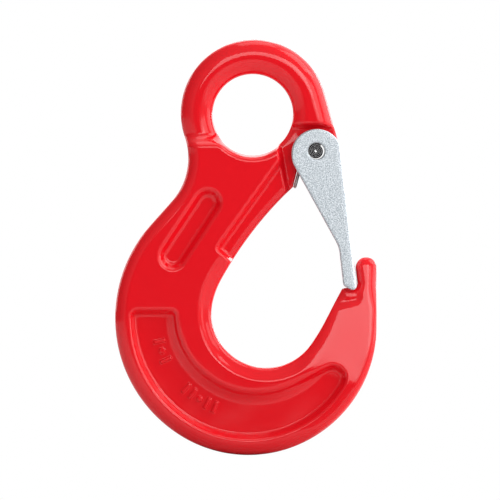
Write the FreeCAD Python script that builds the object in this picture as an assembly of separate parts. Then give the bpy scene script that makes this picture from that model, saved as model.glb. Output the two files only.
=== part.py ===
"""Eye sling hook with a sprung safety latch, for lifting chain.

Four pieces, each written to parts/NODE.step:
    hook_body     drop-forged hook: closed eye, lug for the latch, bowl, and a finger at the tip
    latch         cast channel that closes the throat from inside
    latch_pin     coiled spring pin that carries the latch, tight in the lug
    latch_spring  double torsion spring on the pin, one coil on each side of the lug

Frame, in millimetres: the origin is the centre of the eye's bore, the bore runs along Y, +Z points
from the bowl to the eye, and +X to the side of the latch. Each piece but the rolled pin is the
same on both sides of the middle plane, Y = 0. Directions in the X-Z plane are degrees from +X
towards +Z.
"""

import FreeCAD
import Part
import math
import os

Vec = FreeCAD.Vector

# ---------------------------------------------------------------- the forging's outline
EYE_BORE_D = 25.0
EYE_BAR = 10.4               # width of the eye's bar
EYE_CROWN = 0.4              # the eye's outside circle lies this far up and to the latch side
NECK_R = 20.4                # hollow between eye and back
BACK_SLOPE = 228.3           # direction of the straight part of the back
REACH = 78.9                 # bore centre to the lowest point of the bowl's inside
BOWL_R = 17.0                # inside radius of the bowl
BOWL_X = 4.2                 # the bowl's centre lies this far to the latch side of the bore
SADDLE_DEPTH = 27.3          # depth of the section under the bowl
SADDLE_R = 40.0              # outside radius, under the bowl and up to the tip
HEEL_EXTRA_R = 3.3           # the back of the bowl has a radius this much larger
HEEL_MEETS_SADDLE = 238.0    # direction in which the two outside radii meet
FINGER_OUT = 38.6            # bore axis to the outside face of the tip's finger
FINGER_RISE = 34.4           # top of the finger, above the bowl's lowest point
SEAT_RISE = 25.2             # the latch's seat, above the bowl's lowest point
SEAT_IN = 5.9                # the seat's corner, inwards from the finger's outside face
SEAT_LEDGE = 4.9             # length of the seat's ledge
SEAT_ROUND = 1.2
TIP_HOLLOW_R = 63.0          # gentle hollow between the ledge and the bowl
SHANK_HOLLOW_R = 26.3        # hollow between the bowl and the shank's inside
SHANK_R = 116.2              # nearly straight inside of the shank
SHANK_HOLLOW_FROM = 165.5    # directions in which these radii meet
SHANK_FROM = 151.3
TIP_HOLLOW_FROM = -35.5
LUG_FOOT = 26.0              # bore centre to the lug's lower corner
LUG_FOOT_R = 0.8
LUG_FILLET_R = 2.4           # fillet between the lug's edge and its boss
LUG_FILLET_AT = 241.0        # its direction from the pin
LUG_WALL = 2.6               # metal round the pin's hole

# ---------------------------------------------------------------- the forging's thickness
BODY_THICK = 17.0            # shank and bowl
FINGER_GAP = 0.5             # thin parts (eye, panel, finger) to the latch's cheeks, each side
LUG_THICK = 6.0
ROUND_STEPS = 4              # flats that stand for the rounding of the thick part's edges
INNER_ROUND = 2.4            # rounding on the bowl's inside, in the plane of the hook
EYE_ROUND = 3.6              # rounding of the eye's outside edge
BORE_WALL = 4.6              # length of the bore's even cylindrical wall
BORE_FLARE = 2.0             # the bore's edges widen by this much up to the eye's face
STEP_DRAFT = 0.7             # the steps' and pockets' walls lean back by this much
EYE_STEP_DOWN = 8.4          # the thick part starts this far below the bore's centre
LUG_STEP_DOWN = 3.3          # the lug's thin plate starts this far below the bore's centre
LUG_STEP_IN = 12.0           # the thick part ends this far from the pin, on the lug's side
LUG_STEP_SLOPE = 285.0       # direction in which that edge runs down
PANEL_SLOPE = 234.3          # direction in which the panel's long edge runs down
PANEL_HEAD_GAP = 0.3         # the panel's long edge to the latch's head
PANEL_END_GAP = 0.5          # the panel's end to the open latch's tip
SEAT_POCKET_GAP = 3.2        # the closed latch's end to the end of the thin finger
TAPER_START = 1.0            # the tip's taper starts this far above the bowl's lowest point
TAPER = 0.16                 # fall of the taper on each side, per length
TAPER_TILT = 68.0            # direction in which the tip tapers

# ---------------------------------------------------------------- pockets and marks in the faces
CRESCENT_DEPTH = 2.6
CRESCENT_RIM = 4.5           # crescent to the hook's outside edge
CRESCENT_BAND = 6.7          # crescent to the bowl's inside edge, under the bowl
CRESCENT_BACK = 3.2          # its inner edge is centred this far behind the bowl's centre
CRESCENT_RISE = 18.3         # its upper edge, above the bowl's lowest point
CRESCENT_TO = -31.6          # direction of its round end, from the saddle's centre
CRESCENT_CORNER = 2.6
CRESCENT_END_R = 4.6
SLOT_DEPTH = 2.2
SLOT_W = 9.2
SLOT_LENGTH = 29.0
SLOT_BEHIND = 19.5           # its centre, behind and below the bore's centre
SLOT_DOWN = 35.9
SLOT_SLOPE = 236.6
POCKET_SLOPE = 1.6           # width of the pockets' sloping walls
MARK_HEIGHT = 0.5
MARK_BAR = (1.0, 3.6)        # width and length
MARK_PIP_D = 1.8
MARK_ROWS = ((193.0, 6.0, 3), (226.0, 5.2, 5))   # first direction, step and number of the marks

# ---------------------------------------------------------------- latch
PIN_DIRECTION = -30.1        # the pin lies on the eye's outside circle, in this direction
PIN_D = 5.0
PIN_STRIP = 0.45             # sheet that the spring pin is rolled from
PIN_COILS = 4.2
PIN_COIL_GAP = 0.03
PIN_SEAM = 53.0              # direction of the outer end of the sheet
PIN_SUNK = 0.45              # the pin's ends lie this far inside the latch's faces
PIN_TIGHT = 0.015            # radial clearance of the pin in the lug
PIN_RUNNING = 0.05           # radial clearance of the pin in the latch
CHEEK_THICK = 2.5
WEB_THICK = 2.2
WEB_TOP = 2.4                # the web starts this far above the pin
WEB_BOSS_GAP = 0.6           # the latch's web to the lug's boss
HEAD_DOWN = 1.0              # the head's centre lies this far below the pin
LATCH_NECK_W = 4.3
LATCH_NECK_FROM = 32.3       # where the narrow neck starts, along the latch from the pin
LATCH_NECK_R = 9.0
LATCH_TIP_R = 1.4
LATCH_PAST_SEAT = 0.9        # the cheeks reach this far past the seat's ledge, at their back
LATCH_TIP_SLANT = 1.0        # the cheeks' front ends this much before their back
WEB_SEAT_GAP = 1.4           # the web ends this far before the ledge
LATCH_REST_GAP = 0.15        # the closed latch's back to the finger
SHOULDER_GAP = 0.5           # the latch's web to the hook's shoulder
SHOULDER_IN = 0.9            # the shoulder ends this far inside the latch's back
LATCH_BACK_ROUND = 1.5

# ---------------------------------------------------------------- latch spring
WIRE_D = 1.0
COIL_PIN_GAP = 0.6           # coils to the pin
COIL_CHEEK_GAP = 0.18        # coils to the latch's cheeks
COIL_TURNS = 1               # whole turns of each coil, over the part turn between its legs
WIRE_GAP = 0.08              # wire to the faces beside it, and coil to coil
BRIDGE_BEND_R = 1.1
FREE_LEG = 17.0

# ---------------------------------------------------------------- worked out from the above
BORE_R = EYE_BORE_D / 2
EYE_R = BORE_R + EYE_BAR
HALF = BODY_THICK / 2
LUG_HALF = LUG_THICK / 2
BOSS_R = PIN_D / 2 + LUG_WALL
HEAD_R = BOSS_R + WEB_BOSS_GAP + WEB_THICK
WIRE_R = WIRE_D / 2
COIL_R = PIN_D / 2 + COIL_PIN_GAP + WIRE_R
COIL_PITCH = WIRE_D + WIRE_GAP
FAR = 3 * REACH
JOIN = 1e-4                  # points of an outline that are closer than this are one point


def polar(centre, radius, degrees):
    """The point at that radius and direction from centre, in the X-Z plane."""
    a = math.radians(degrees)
    return (centre[0] + radius * math.cos(a), centre[1] + radius * math.sin(a))


EYE = (EYE_CROWN, EYE_CROWN)
PIN = polar((0.0, 0.0), EYE_R, PIN_DIRECTION)
BOWL = (BOWL_X, BOWL_R - REACH)
SADDLE = (FINGER_OUT - SADDLE_R, SADDLE_R - REACH - SADDLE_DEPTH)
HEEL = polar(SADDLE, -HEEL_EXTRA_R, HEEL_MEETS_SADDLE)
HEEL_R = SADDLE_R + HEEL_EXTRA_R
SEAT = (FINGER_OUT - SEAT_IN, SEAT_RISE - REACH)


def closed_latch_direction():
    """Direction of the closed latch from the pin: its back then clears the seat's corner."""
    dx, dz = SEAT[0] - PIN[0], SEAT[1] - PIN[1]
    back = math.asin((HEAD_R + LATCH_REST_GAP) / math.hypot(dx, dz))
    return math.degrees(math.atan2(dz, dx) - back)


LATCH_DIRECTION = closed_latch_direction()


def on_latch(along, back):
    """Point so far along the latch from the pin, and so far towards its back."""
    return polar(polar(PIN, along, LATCH_DIRECTION), back, LATCH_DIRECTION + 90)


def along_latch(point):
    """How far along the closed latch a point lies from the pin."""
    a = math.radians(LATCH_DIRECTION)
    return (point[0] - PIN[0]) * math.cos(a) + (point[1] - PIN[1]) * math.sin(a)


def across_latch(point):
    """How far a point lies towards the closed latch's back, from the pin."""
    a = math.radians(LATCH_DIRECTION + 90)
    return (point[0] - PIN[0]) * math.cos(a) + (point[1] - PIN[1]) * math.sin(a)


SEAT_ALONG = along_latch(SEAT)
LATCH_END = SEAT_ALONG + LATCH_PAST_SEAT
WEB_END = SEAT_ALONG - WEB_SEAT_GAP
LATCH_FRONT = HEAD_R - LATCH_NECK_W
FRONT_TIP = (LATCH_END - LATCH_TIP_SLANT - LATCH_TIP_R, LATCH_FRONT + LATCH_TIP_R)
BACK_TIP = (LATCH_END - LATCH_TIP_R, HEAD_R - LATCH_TIP_R)
FRONT_REACH = math.hypot(*FRONT_TIP) + LATCH_TIP_R
BACK_REACH = math.hypot(*BACK_TIP) + LATCH_TIP_R


# ---------------------------------------------------------------- outlines in the X-Z plane
# A round is (x, z, radius, turn). An outline runs from round to round with the material on its
# left, anticlockwise round those of turn +1 and clockwise round those of turn -1.
def at(point, level):
    """A point of the X-Z plane as a vector at Y = level."""
    return Vec(point[0], level, point[1])


def left_normal(a, b):
    """Direction, in radians, of the left normal of the line from round a to round b."""
    dx, dz = b[0] - a[0], b[1] - a[1]
    share = (b[3] * b[2] - a[3] * a[2]) / math.hypot(dx, dz)
    return math.atan2(dz, dx) + math.acos(max(-1.0, min(1.0, share)))


def on_round(r, normal):
    """The point of a round where the outline's left normal has that direction."""
    return (r[0] - r[3] * r[2] * math.cos(normal), r[1] - r[3] * r[2] * math.sin(normal))


def outline_wire(rounds, level):
    """Closed wire of arcs and straight lines round the rounds, at Y = level."""
    normals = [left_normal(r, rounds[(i + 1) % len(rounds)]) for i, r in enumerate(rounds)]
    first = on_round(rounds[0], normals[-1])
    here = first
    edges = []
    for i, r in enumerate(rounds):
        came = normals[i - 1]
        sweep = (normals[i] - came) * r[3] % (2 * math.pi) * r[3]
        middle, end = (on_round(r, came + sweep * t) for t in (0.5, 1))
        if r[2] * abs(sweep) > JOIN:
            edges.append(Part.Arc(at(here, level), at(middle, level), at(end, level)).toShape())
            here = end
        after = first if i == len(rounds) - 1 else on_round(rounds[i + 1], normals[i])
        if math.dist(after, here) > JOIN:
            edges.append(Part.LineSegment(at(here, level), at(after, level)).toShape())
            here = after
    return Part.Wire(edges)


def prism(rounds, half):
    """Solid inside the outline, from Y = -half to +half."""
    return Part.Face(outline_wire(rounds, -half)).extrude(Vec(0, 2 * half, 0))


def corners(points):
    """Sharp corners, as rounds of no radius."""
    return [(p[0], p[1], 0.0, 1) for p in points]


def two_sided(cutters):
    """The front's solids, and their mirror images for the back."""
    return cutters + [c.mirror(Vec(0, 0, 0), Vec(0, 1, 0)) for c in cutters]


def cylinder(centre, radius, half):
    """Solid cylinder along Y, from -half to +half."""
    return Part.makeCylinder(radius, 2 * half, at(centre, -half), Vec(0, 1, 0))


def pierced(solid, centre, radius):
    """The solid with a hole right through it along Y."""
    return solid.cut(cylinder(centre, radius, FAR))


def outside_level(region, level):
    """The parts of a prism that lie further than level from the middle plane."""
    return region.cut(Part.makeBox(4 * FAR, 2 * level, 4 * FAR, Vec(-2 * FAR, -level, -2 * FAR)))


# ---------------------------------------------------------------- lug, bowl, and room for the spring
def bowl_rounds():
    """The rounds of the throat's inside, from the tip's ledge down and up to the lug."""
    tip_hollow = polar(BOWL, BOWL_R - TIP_HOLLOW_R, TIP_HOLLOW_FROM)
    shank_hollow = polar(BOWL, BOWL_R - SHANK_HOLLOW_R, SHANK_HOLLOW_FROM)
    shank = polar(shank_hollow, SHANK_HOLLOW_R - SHANK_R, SHANK_FROM)
    return [
        (*tip_hollow, TIP_HOLLOW_R, -1),
        (*BOWL, BOWL_R, -1),
        (*shank_hollow, SHANK_HOLLOW_R, -1),
        (*shank, SHANK_R, -1),
    ]


def lug_foot(shank, radius):
    """Round of the lug's lower corner: it continues the shank's inside, at its distance."""
    reach = math.hypot(shank[0], shank[1])
    far = shank[2] + radius
    near = LUG_FOOT - radius
    turn = math.acos((reach**2 + near**2 - far**2) / (2 * reach * near))
    centre = polar((0.0, 0.0), near, math.degrees(math.atan2(shank[1], shank[0]) - turn))
    return (*centre, radius, 1)


def bridge_centre():
    """Centre of the spring's bridge: the wire lies against the lug's straight edge, at its foot."""
    foot = lug_foot(bowl_rounds()[-1], LUG_FOOT_R)
    fillet = (*polar(PIN, BOSS_R + LUG_FILLET_R, LUG_FILLET_AT), LUG_FILLET_R, -1)
    normal = left_normal(foot, fillet)
    return polar(on_round(foot, normal), WIRE_R + WIRE_GAP, math.degrees(normal) + 180)


def coil_directions():
    """Directions from the pin in which the wire meets its coil: the fixed leg and the free leg."""
    bridge = bridge_centre()
    dx, dz = bridge[0] - PIN[0], bridge[1] - PIN[1]
    fixed = math.degrees(math.atan2(dz, dx) - math.acos(COIL_R / math.hypot(dx, dz))) % 360
    free_gap = HEAD_R - WEB_THICK - WIRE_R - WIRE_GAP - COIL_R
    free = LATCH_DIRECTION + 90 + math.degrees(math.atan(free_gap / FREE_LEG))
    return fixed, free


COIL_FIXED, COIL_FREE = coil_directions()
COIL_SWEEP = (COIL_FIXED - COIL_FREE) % 360 + 360 * COIL_TURNS
COIL_NEAR = LUG_HALF + WIRE_GAP + WIRE_R
COIL_FAR = COIL_NEAR + COIL_PITCH * COIL_SWEEP / 360
CHEEK_IN = COIL_FAR + WIRE_R + COIL_CHEEK_GAP
CHEEK_OUT = CHEEK_IN + CHEEK_THICK
THIN_HALF = CHEEK_IN - FINGER_GAP
OUTER_ROUND = HALF - THIN_HALF


# ---------------------------------------------------------------- hook body
def touching_neck(point, degrees):
    """Centre of the neck's hollow: it touches the eye and the line through point."""
    base = polar(point, NECK_R, degrees - 90)
    a = math.radians(degrees)
    dx, dz = base[0] - EYE[0], base[1] - EYE[1]
    b = dx * math.cos(a) + dz * math.sin(a)
    t = math.sqrt(b * b - dx * dx - dz * dz + (EYE_R + NECK_R) ** 2) - b
    return polar(base, t, degrees)


def finger_round():
    """The finger's top round: it touches its outside face, its top and its inner face."""
    top = FINGER_RISE - REACH
    slope = math.radians(-LATCH_DIRECTION)
    edge = on_latch(0.0, HEAD_R + LATCH_REST_GAP)
    face_x = edge[0] + (edge[1] - top) / math.tan(slope)
    radius = (FINGER_OUT - face_x) / (1 + 1 / math.sin(slope) + 1 / math.tan(slope))
    return (FINGER_OUT - radius, top - radius, radius, 1)


def back_rounds():
    """The rounds of the outside, from the eye down the back and up to the finger."""
    neck = touching_neck(polar(HEEL, HEEL_R, BACK_SLOPE - 90), BACK_SLOPE)
    return [(*EYE, EYE_R, 1), (*neck, NECK_R, -1), (*HEEL, HEEL_R, 1), (*SADDLE, SADDLE_R, 1)]


def hook_outline():
    """The forging's outline, anticlockwise from the eye's crown."""
    finger_face = HEAD_R + LATCH_REST_GAP
    seat = on_latch(SEAT_ALONG - SEAT_ROUND, finger_face - SEAT_ROUND)
    ledge = on_latch(SEAT_ALONG, finger_face - SEAT_LEDGE)
    inside = bowl_rounds()
    fillet = polar(PIN, BOSS_R + LUG_FILLET_R, LUG_FILLET_AT)
    web_top = -WEB_TOP - SHOULDER_GAP
    boss_side = on_latch(web_top, math.sqrt(BOSS_R**2 - web_top**2))
    shoulder = on_latch(web_top, HEAD_R - SHOULDER_IN)
    at_seat = [finger_round(), (*seat, SEAT_ROUND, -1), *corners([ledge])]
    at_lug = [lug_foot(inside[-1], LUG_FOOT_R), (*fillet, LUG_FILLET_R, -1), (*PIN, BOSS_R, 1)]
    return back_rounds() + at_seat + inside + at_lug + corners([boss_side, shoulder])


def thick_outline(rise):
    """The thick part's outline where its rounded edge has risen by that angle, 0 to 90 degrees."""
    away = 1 - math.cos(math.radians(rise))
    tip_r = OUTER_ROUND + STEP_DRAFT
    tip = (FINGER_OUT - tip_r, FINGER_RISE - REACH - tip_r, tip_r, 1)
    inside = bowl_rounds()
    outside = back_rounds() + [tip]
    inside.append(lug_foot(inside[-1], INNER_ROUND + LUG_FOOT_R))
    moved = [(x, z, r - turn * OUTER_ROUND * away, turn) for x, z, r, turn in outside]
    return moved + [(x, z, r - turn * INNER_ROUND * away, turn) for x, z, r, turn in inside]


def thick_layer():
    """The front half of what stands above the thin level, before any part of it is cut away."""
    rises = [90.0 * i / ROUND_STEPS for i in range(ROUND_STEPS + 1)]
    wires = []
    for rise in rises:
        level = THIN_HALF + OUTER_ROUND * math.sin(math.radians(rise))
        wires.append(outline_wire(thick_outline(rise), -level))
    return Part.makeLoft(wires, True, True)


def edge_section(points, arc_middle, direction):
    """Face of (radius, level) points in the plane of the Y axis that faces in that direction.

    The section's first side is an arc by way of arc_middle.
    """
    ends = [Vec(r, -level, 0) for r, level in points]
    middle = Vec(arc_middle[0], -arc_middle[1], 0)
    edges = [Part.Arc(ends[0], middle, ends[1]).toShape()]
    for a, b in zip(ends[1:], ends[2:] + ends[:1]):
        edges.append(Part.LineSegment(a, b).toShape())
    section = Part.Face(Part.Wire(edges))
    section.rotate(Vec(0, 0, 0), Vec(0, -1, 0), direction)
    return section


def bore_edge():
    """Rounds the front edge of the bore and clears the thick part round it."""
    wall = BORE_WALL / 2
    rise = THIN_HALF - wall
    slant = math.sqrt(0.5)
    middle = (BORE_R + BORE_FLARE * (1 - slant), wall + rise * slant)
    rim = BORE_R + BORE_FLARE
    points = [
        (BORE_R, wall),
        (rim, THIN_HALF),
        (rim + STEP_DRAFT, HALF + 1),
        (BORE_R / 2, HALF + 1),
        (BORE_R / 2, wall),
    ]
    return edge_section(points, middle, 0.0).revolve(Vec(0, 0, 0), Vec(0, -1, 0), 360.0)


def eye_edges():
    """Round the front edge of the eye's outside, and of the straight side down to the shoulder."""
    low = THIN_HALF - EYE_ROUND
    slant = EYE_ROUND * (1 - math.sqrt(0.5))
    rim = EYE_R - EYE_ROUND
    past = EYE_R + EYE_ROUND
    points = [(EYE_R, low), (rim, THIN_HALF), (rim, HALF), (past, HALF), (past, low)]
    middle = (EYE_R - slant, THIN_HALF - slant)
    rounds = hook_outline()
    start = math.degrees(left_normal(rounds[-1], rounds[0])) + 180
    end = math.degrees(left_normal(rounds[0], rounds[1])) + 180
    ring = edge_section(points, middle, start).revolve(Vec(0, 0, 0), Vec(0, -1, 0), (end - start) % 360)
    side = edge_section(points, middle, start).extrude(at(polar((0.0, 0.0), EYE_R, start - 90), 0.0))
    for cutter in (ring, side):
        cutter.translate(at(EYE, 0.0))
    return [ring, side]


def slab(points, level):
    """Front cutter: all that lies further than level in front of a polygon in the middle plane."""
    face = Part.Face(Part.makePolygon([at(p, -level) for p in points + points[:1]]))
    return face.extrude(Vec(0, level - HALF - 1, 0))


def lug_zone():
    """Corners of the lug's thin plate, which runs on past the outline on the latch's side."""
    slope = math.radians(LUG_STEP_SLOPE)
    edge_x = [PIN[0] - LUG_STEP_IN + (z - PIN[1]) / math.tan(slope) for z in (-LUG_STEP_DOWN, -LUG_FOOT)]
    return [(edge_x[0], -LUG_STEP_DOWN), (edge_x[1], -LUG_FOOT), (FAR, -LUG_FOOT), (FAR, -LUG_STEP_DOWN)]


def thin_zones():
    """What the front's thick layer leaves free: eye, lug, open latch's panel, and finger."""
    eye_zone = [(-FAR, -EYE_STEP_DOWN), (FAR, -EYE_STEP_DOWN), (FAR, FAR), (-FAR, FAR)]
    by_head = polar(PIN, HEAD_R + PANEL_HEAD_GAP, PANEL_SLOPE - 90)
    upper = polar(by_head, FAR, PANEL_SLOPE - 180)
    lower = polar(by_head, FAR, PANEL_SLOPE)
    away = PANEL_SLOPE + 90
    panel_zone = [upper, lower, polar(lower, FAR, away), polar(upper, FAR, away)]
    panel_end = cylinder(PIN, FRONT_REACH + PANEL_END_GAP, HALF + 1)
    finger_zone = cylinder(PIN, BACK_REACH + SEAT_POCKET_GAP, HALF + 1).common(tip_side())
    return [
        slab(eye_zone, THIN_HALF),
        slab(lug_zone(), THIN_HALF),
        slab(panel_zone, THIN_HALF).common(panel_end),
        outside_level(finger_zone, THIN_HALF),
    ]


def tip_side():
    """Front slab over the hook's tip side only."""
    middle = BOWL[0] + BOWL_R / 2
    return slab([(middle, -FAR), (FAR, -FAR), (FAR, FAR), (middle, FAR)], 0.0)


def tip_taper():
    """Slanting cutter that thins the front of the tip towards the finger."""
    start = (FINGER_OUT - OUTER_ROUND, TAPER_START - REACH)
    left = polar(start, FAR, TAPER_TILT + 90)
    left_up = polar(left, FAR, TAPER_TILT)
    points = [at(left, -HALF), at(left, -HALF - 1), at(left_up, -HALF - 1), at(left_up, -HALF + TAPER * FAR)]
    right = polar((0.0, 0.0), 2 * FAR, TAPER_TILT - 90)
    return Part.Face(Part.makePolygon(points + points[:1])).extrude(at(right, 0.0)).common(tip_side())


def pocket(rounds, depth):
    """Pocket with sloping walls in the front face, down to that depth, from an outline."""
    mouth = [(x, z, r + turn * POCKET_SLOPE / depth, turn) for x, z, r, turn in rounds]
    floor = [(x, z, r - turn * POCKET_SLOPE, turn) for x, z, r, turn in rounds]
    wires = [outline_wire(mouth, -HALF - 1), outline_wire(floor, -HALF + depth)]
    return Part.makeLoft(wires, True, True)


def slot_rounds():
    """The long pocket of the shank."""
    middle = (-SLOT_BEHIND, -SLOT_DOWN)
    run = (SLOT_LENGTH - SLOT_W) / 2
    ends = (polar(middle, -run, SLOT_SLOPE), polar(middle, run, SLOT_SLOPE))
    return [(*end, SLOT_W / 2, 1) for end in ends]


def crescent_rounds():
    """The crescent pocket that follows the bowl."""
    outer = (*HEEL, HEEL_R - CRESCENT_RIM, 1)
    saddle = (*SADDLE, SADDLE_R - CRESCENT_RIM, 1)
    inner = (BOWL[0] - CRESCENT_BACK, BOWL[1], BOWL_R + CRESCENT_BAND, -1)
    corner_z = CRESCENT_RISE - REACH - CRESCENT_CORNER
    upper_out = beside_round(outer, CRESCENT_CORNER, corner_z)
    upper_in = beside_round(inner, CRESCENT_CORNER, corner_z)
    end = (*polar(SADDLE, saddle[2] - CRESCENT_END_R, CRESCENT_TO), CRESCENT_END_R, 1)
    return [upper_out, outer, saddle, end, inner, upper_in]


def beside_round(big, radius, z):
    """Round at that height that touches the back of a large round, on its material's side."""
    reach = big[2] - big[3] * radius
    return (big[0] - math.sqrt(reach**2 - (z - big[1]) ** 2), z, radius, 1)


def marks():
    """Raised bars and pips on the floor of the front crescent, in two rows along its middle."""
    floor = -HALF + CRESCENT_DEPTH
    middle_r = (BOWL_R + CRESCENT_BAND + SADDLE_R - CRESCENT_RIM) / 2
    centre = ((BOWL[0] - CRESCENT_BACK + SADDLE[0]) / 2, (BOWL[1] + SADDLE[1]) / 2)
    width, length = MARK_BAR
    solids = []
    for first, step, count in MARK_ROWS:
        for i in range(count):
            direction = first + i * step
            place = at(polar(centre, middle_r, direction), floor - MARK_HEIGHT)
            mark = Part.makeCylinder(MARK_PIP_D / 2, 2 * MARK_HEIGHT, Vec(0, 0, 0), Vec(0, 1, 0))
            if i != count // 2:
                corner = Vec(-length / 2, 0, -width / 2)
                mark = Part.makeBox(length, 2 * MARK_HEIGHT, width, corner)
                mark.rotate(Vec(0, 0, 0), Vec(0, -1, 0), direction)
            mark.translate(place)
            solids.append(mark)
    return solids


def hook_body():
    """The forging: a thin core of the full outline, and a thick layer on each face."""
    cutters = thin_zones() + [tip_taper(), bore_edge()]
    cutters += [pocket(slot_rounds(), SLOT_DEPTH), pocket(crescent_rounds(), CRESCENT_DEPTH)]
    front = thick_layer().cut(cutters)
    core = prism(hook_outline(), THIN_HALF)
    core = core.cut(two_sided([slab(lug_zone(), LUG_HALF), bore_edge(), *eye_edges()]))
    body = core.fuse(two_sided([front]) + marks()).removeSplitter()
    return pierced(pierced(body, (0.0, 0.0), BORE_R), PIN, PIN_D / 2 + PIN_TIGHT)


# ---------------------------------------------------------------- latch
def latch_outline():
    """The closed latch's cheeks: round head, narrow neck, and a straight back."""
    hollow = on_latch(LATCH_NECK_FROM, LATCH_FRONT - LATCH_NECK_R)
    return [
        (*on_latch(HEAD_DOWN, 0.0), HEAD_R, 1),
        (*hollow, LATCH_NECK_R, -1),
        (*on_latch(*FRONT_TIP), LATCH_TIP_R, 1),
        (*on_latch(*BACK_TIP), LATCH_TIP_R, 1),
    ]


def latch():
    """Channel: two cheeks outside the hook's thin parts, joined by a web along the back."""
    inner = HEAD_R - WEB_THICK
    room = prism(latch_zone(-FAR, FAR, -FAR, inner), CHEEK_IN)
    above = prism(latch_zone(-FAR, -WEB_TOP, -FAR, FAR), CHEEK_IN)
    below = prism(latch_zone(WEB_END, FAR, -FAR, FAR), CHEEK_IN)
    stock = prism(latch_zone(-FAR, FAR, -FAR, HEAD_R), CHEEK_OUT)
    back_edges = [e for e in stock.Edges if all(on_back(v.Point) for v in e.Vertexes) and not across_y(e)]
    stock = stock.makeFillet(LATCH_BACK_ROUND, back_edges)
    channel = prism(latch_outline(), CHEEK_OUT).common(stock).cut([room, above, below])
    return pierced(channel, PIN, PIN_D / 2 + PIN_RUNNING)


def latch_zone(along_from, along_to, back_from, back_to):
    """Corners of a rectangle that lies along the closed latch."""
    places = ((along_from, back_from), (along_to, back_from), (along_to, back_to), (along_from, back_to))
    return corners([on_latch(*place) for place in places])


def on_back(point):
    """Whether a point lies in the plane of the closed latch's back."""
    return abs(across_latch((point.x, point.z)) - HEAD_R) < JOIN


def across_y(edge):
    """Whether a straight edge runs from one side of the hook to the other."""
    ends = [v.Point for v in edge.Vertexes]
    return abs(ends[0].y - ends[1].y) > JOIN


# ---------------------------------------------------------------- pin and spring
def latch_pin():
    """Spring pin: a strip rolled up inwards, each quarter turn an arc from a centre of its own."""
    pitch = PIN_STRIP + PIN_COIL_GAP
    outer, inner = [], []
    centre, radius, direction = PIN, PIN_D / 2, PIN_SEAM
    left = 360.0 * PIN_COILS
    while left > 0:
        step = min(90.0, left)
        turns = (direction, direction + step / 2, direction + step)
        outer.append([polar(centre, radius, d) for d in turns])
        inner.append([polar(centre, radius - PIN_STRIP, d) for d in turns])
        direction += step
        centre = polar(centre, pitch / 4, direction)
        radius -= pitch / 4
        left -= step
    half = CHEEK_OUT - PIN_SUNK
    edges = [arc(points, -half) for points in outer + inner]
    for face in ((outer[0][0], inner[0][0]), (outer[-1][2], inner[-1][2])):
        edges.append(Part.LineSegment(at(face[0], -half), at(face[1], -half)).toShape())
    wire = Part.Wire(Part.__sortEdges__(edges))
    return Part.Face(wire).extrude(Vec(0, 2 * half, 0))


def arc(points, level):
    """Arc through three points of the X-Z plane, at Y = level."""
    return Part.Arc(*[at(p, level) for p in points]).toShape()


def spring_wire():
    """The middle line of the spring's front half, from the bridge's middle to the free leg's end."""
    bridge = bridge_centre()
    slant = BRIDGE_BEND_R * (1 - math.sqrt(0.5))
    bend_start = at(bridge, BRIDGE_BEND_R - COIL_NEAR)
    bend_middle = at(polar(bridge, slant, COIL_FIXED - 90), slant - COIL_NEAR)
    bend_end = at(polar(bridge, BRIDGE_BEND_R, COIL_FIXED - 90), -COIL_NEAR)
    off_coil = polar(PIN, COIL_R, COIL_FREE)
    leg_end = polar(off_coil, FREE_LEG, COIL_FREE - 90)
    coil = Part.makeHelix(COIL_PITCH, COIL_FAR - COIL_NEAR, COIL_R, 0, True)
    coil.rotate(Vec(0, 0, 0), Vec(1, 0, 0), 90)
    coil.rotate(Vec(0, 0, 0), Vec(0, -1, 0), COIL_FIXED)
    coil.translate(at(PIN, -COIL_NEAR))
    fixed_leg = [
        Part.LineSegment(at(bridge, 0.0), bend_start).toShape(),
        Part.Arc(bend_start, bend_middle, bend_end).toShape(),
        Part.LineSegment(bend_end, at(polar(PIN, COIL_R, COIL_FIXED), -COIL_NEAR)).toShape(),
    ]
    free_leg = Part.LineSegment(at(off_coil, -COIL_FAR), at(leg_end, -COIL_FAR)).toShape()
    return Part.Wire(fixed_leg + coil.Edges + [free_leg])


def latch_spring():
    """Double torsion spring: half of it, swept along its wire, and the mirror image."""
    section = Part.Wire(Part.makeCircle(WIRE_R, at(bridge_centre(), 0.0), Vec(0, -1, 0)))
    half = spring_wire().makePipeShell([section], True, False)
    front, back = two_sided([half])
    return front.fuse(back)


if __name__ == "__main__":
    os.makedirs("parts", exist_ok=True)
    pieces = {
        "hook_body": hook_body(),
        "latch": latch(),
        "latch_pin": latch_pin(),
        "latch_spring": latch_spring(),
    }
    for name, shape in pieces.items():
        shape.exportStep(f"parts/{name}.step")
        print(name, shape.isValid(), round(shape.Volume))
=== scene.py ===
import logging
import math
from dataclasses import dataclass
from enum import Enum

import bmesh
import bpy
import numpy as np
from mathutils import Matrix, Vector, geometry


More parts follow.
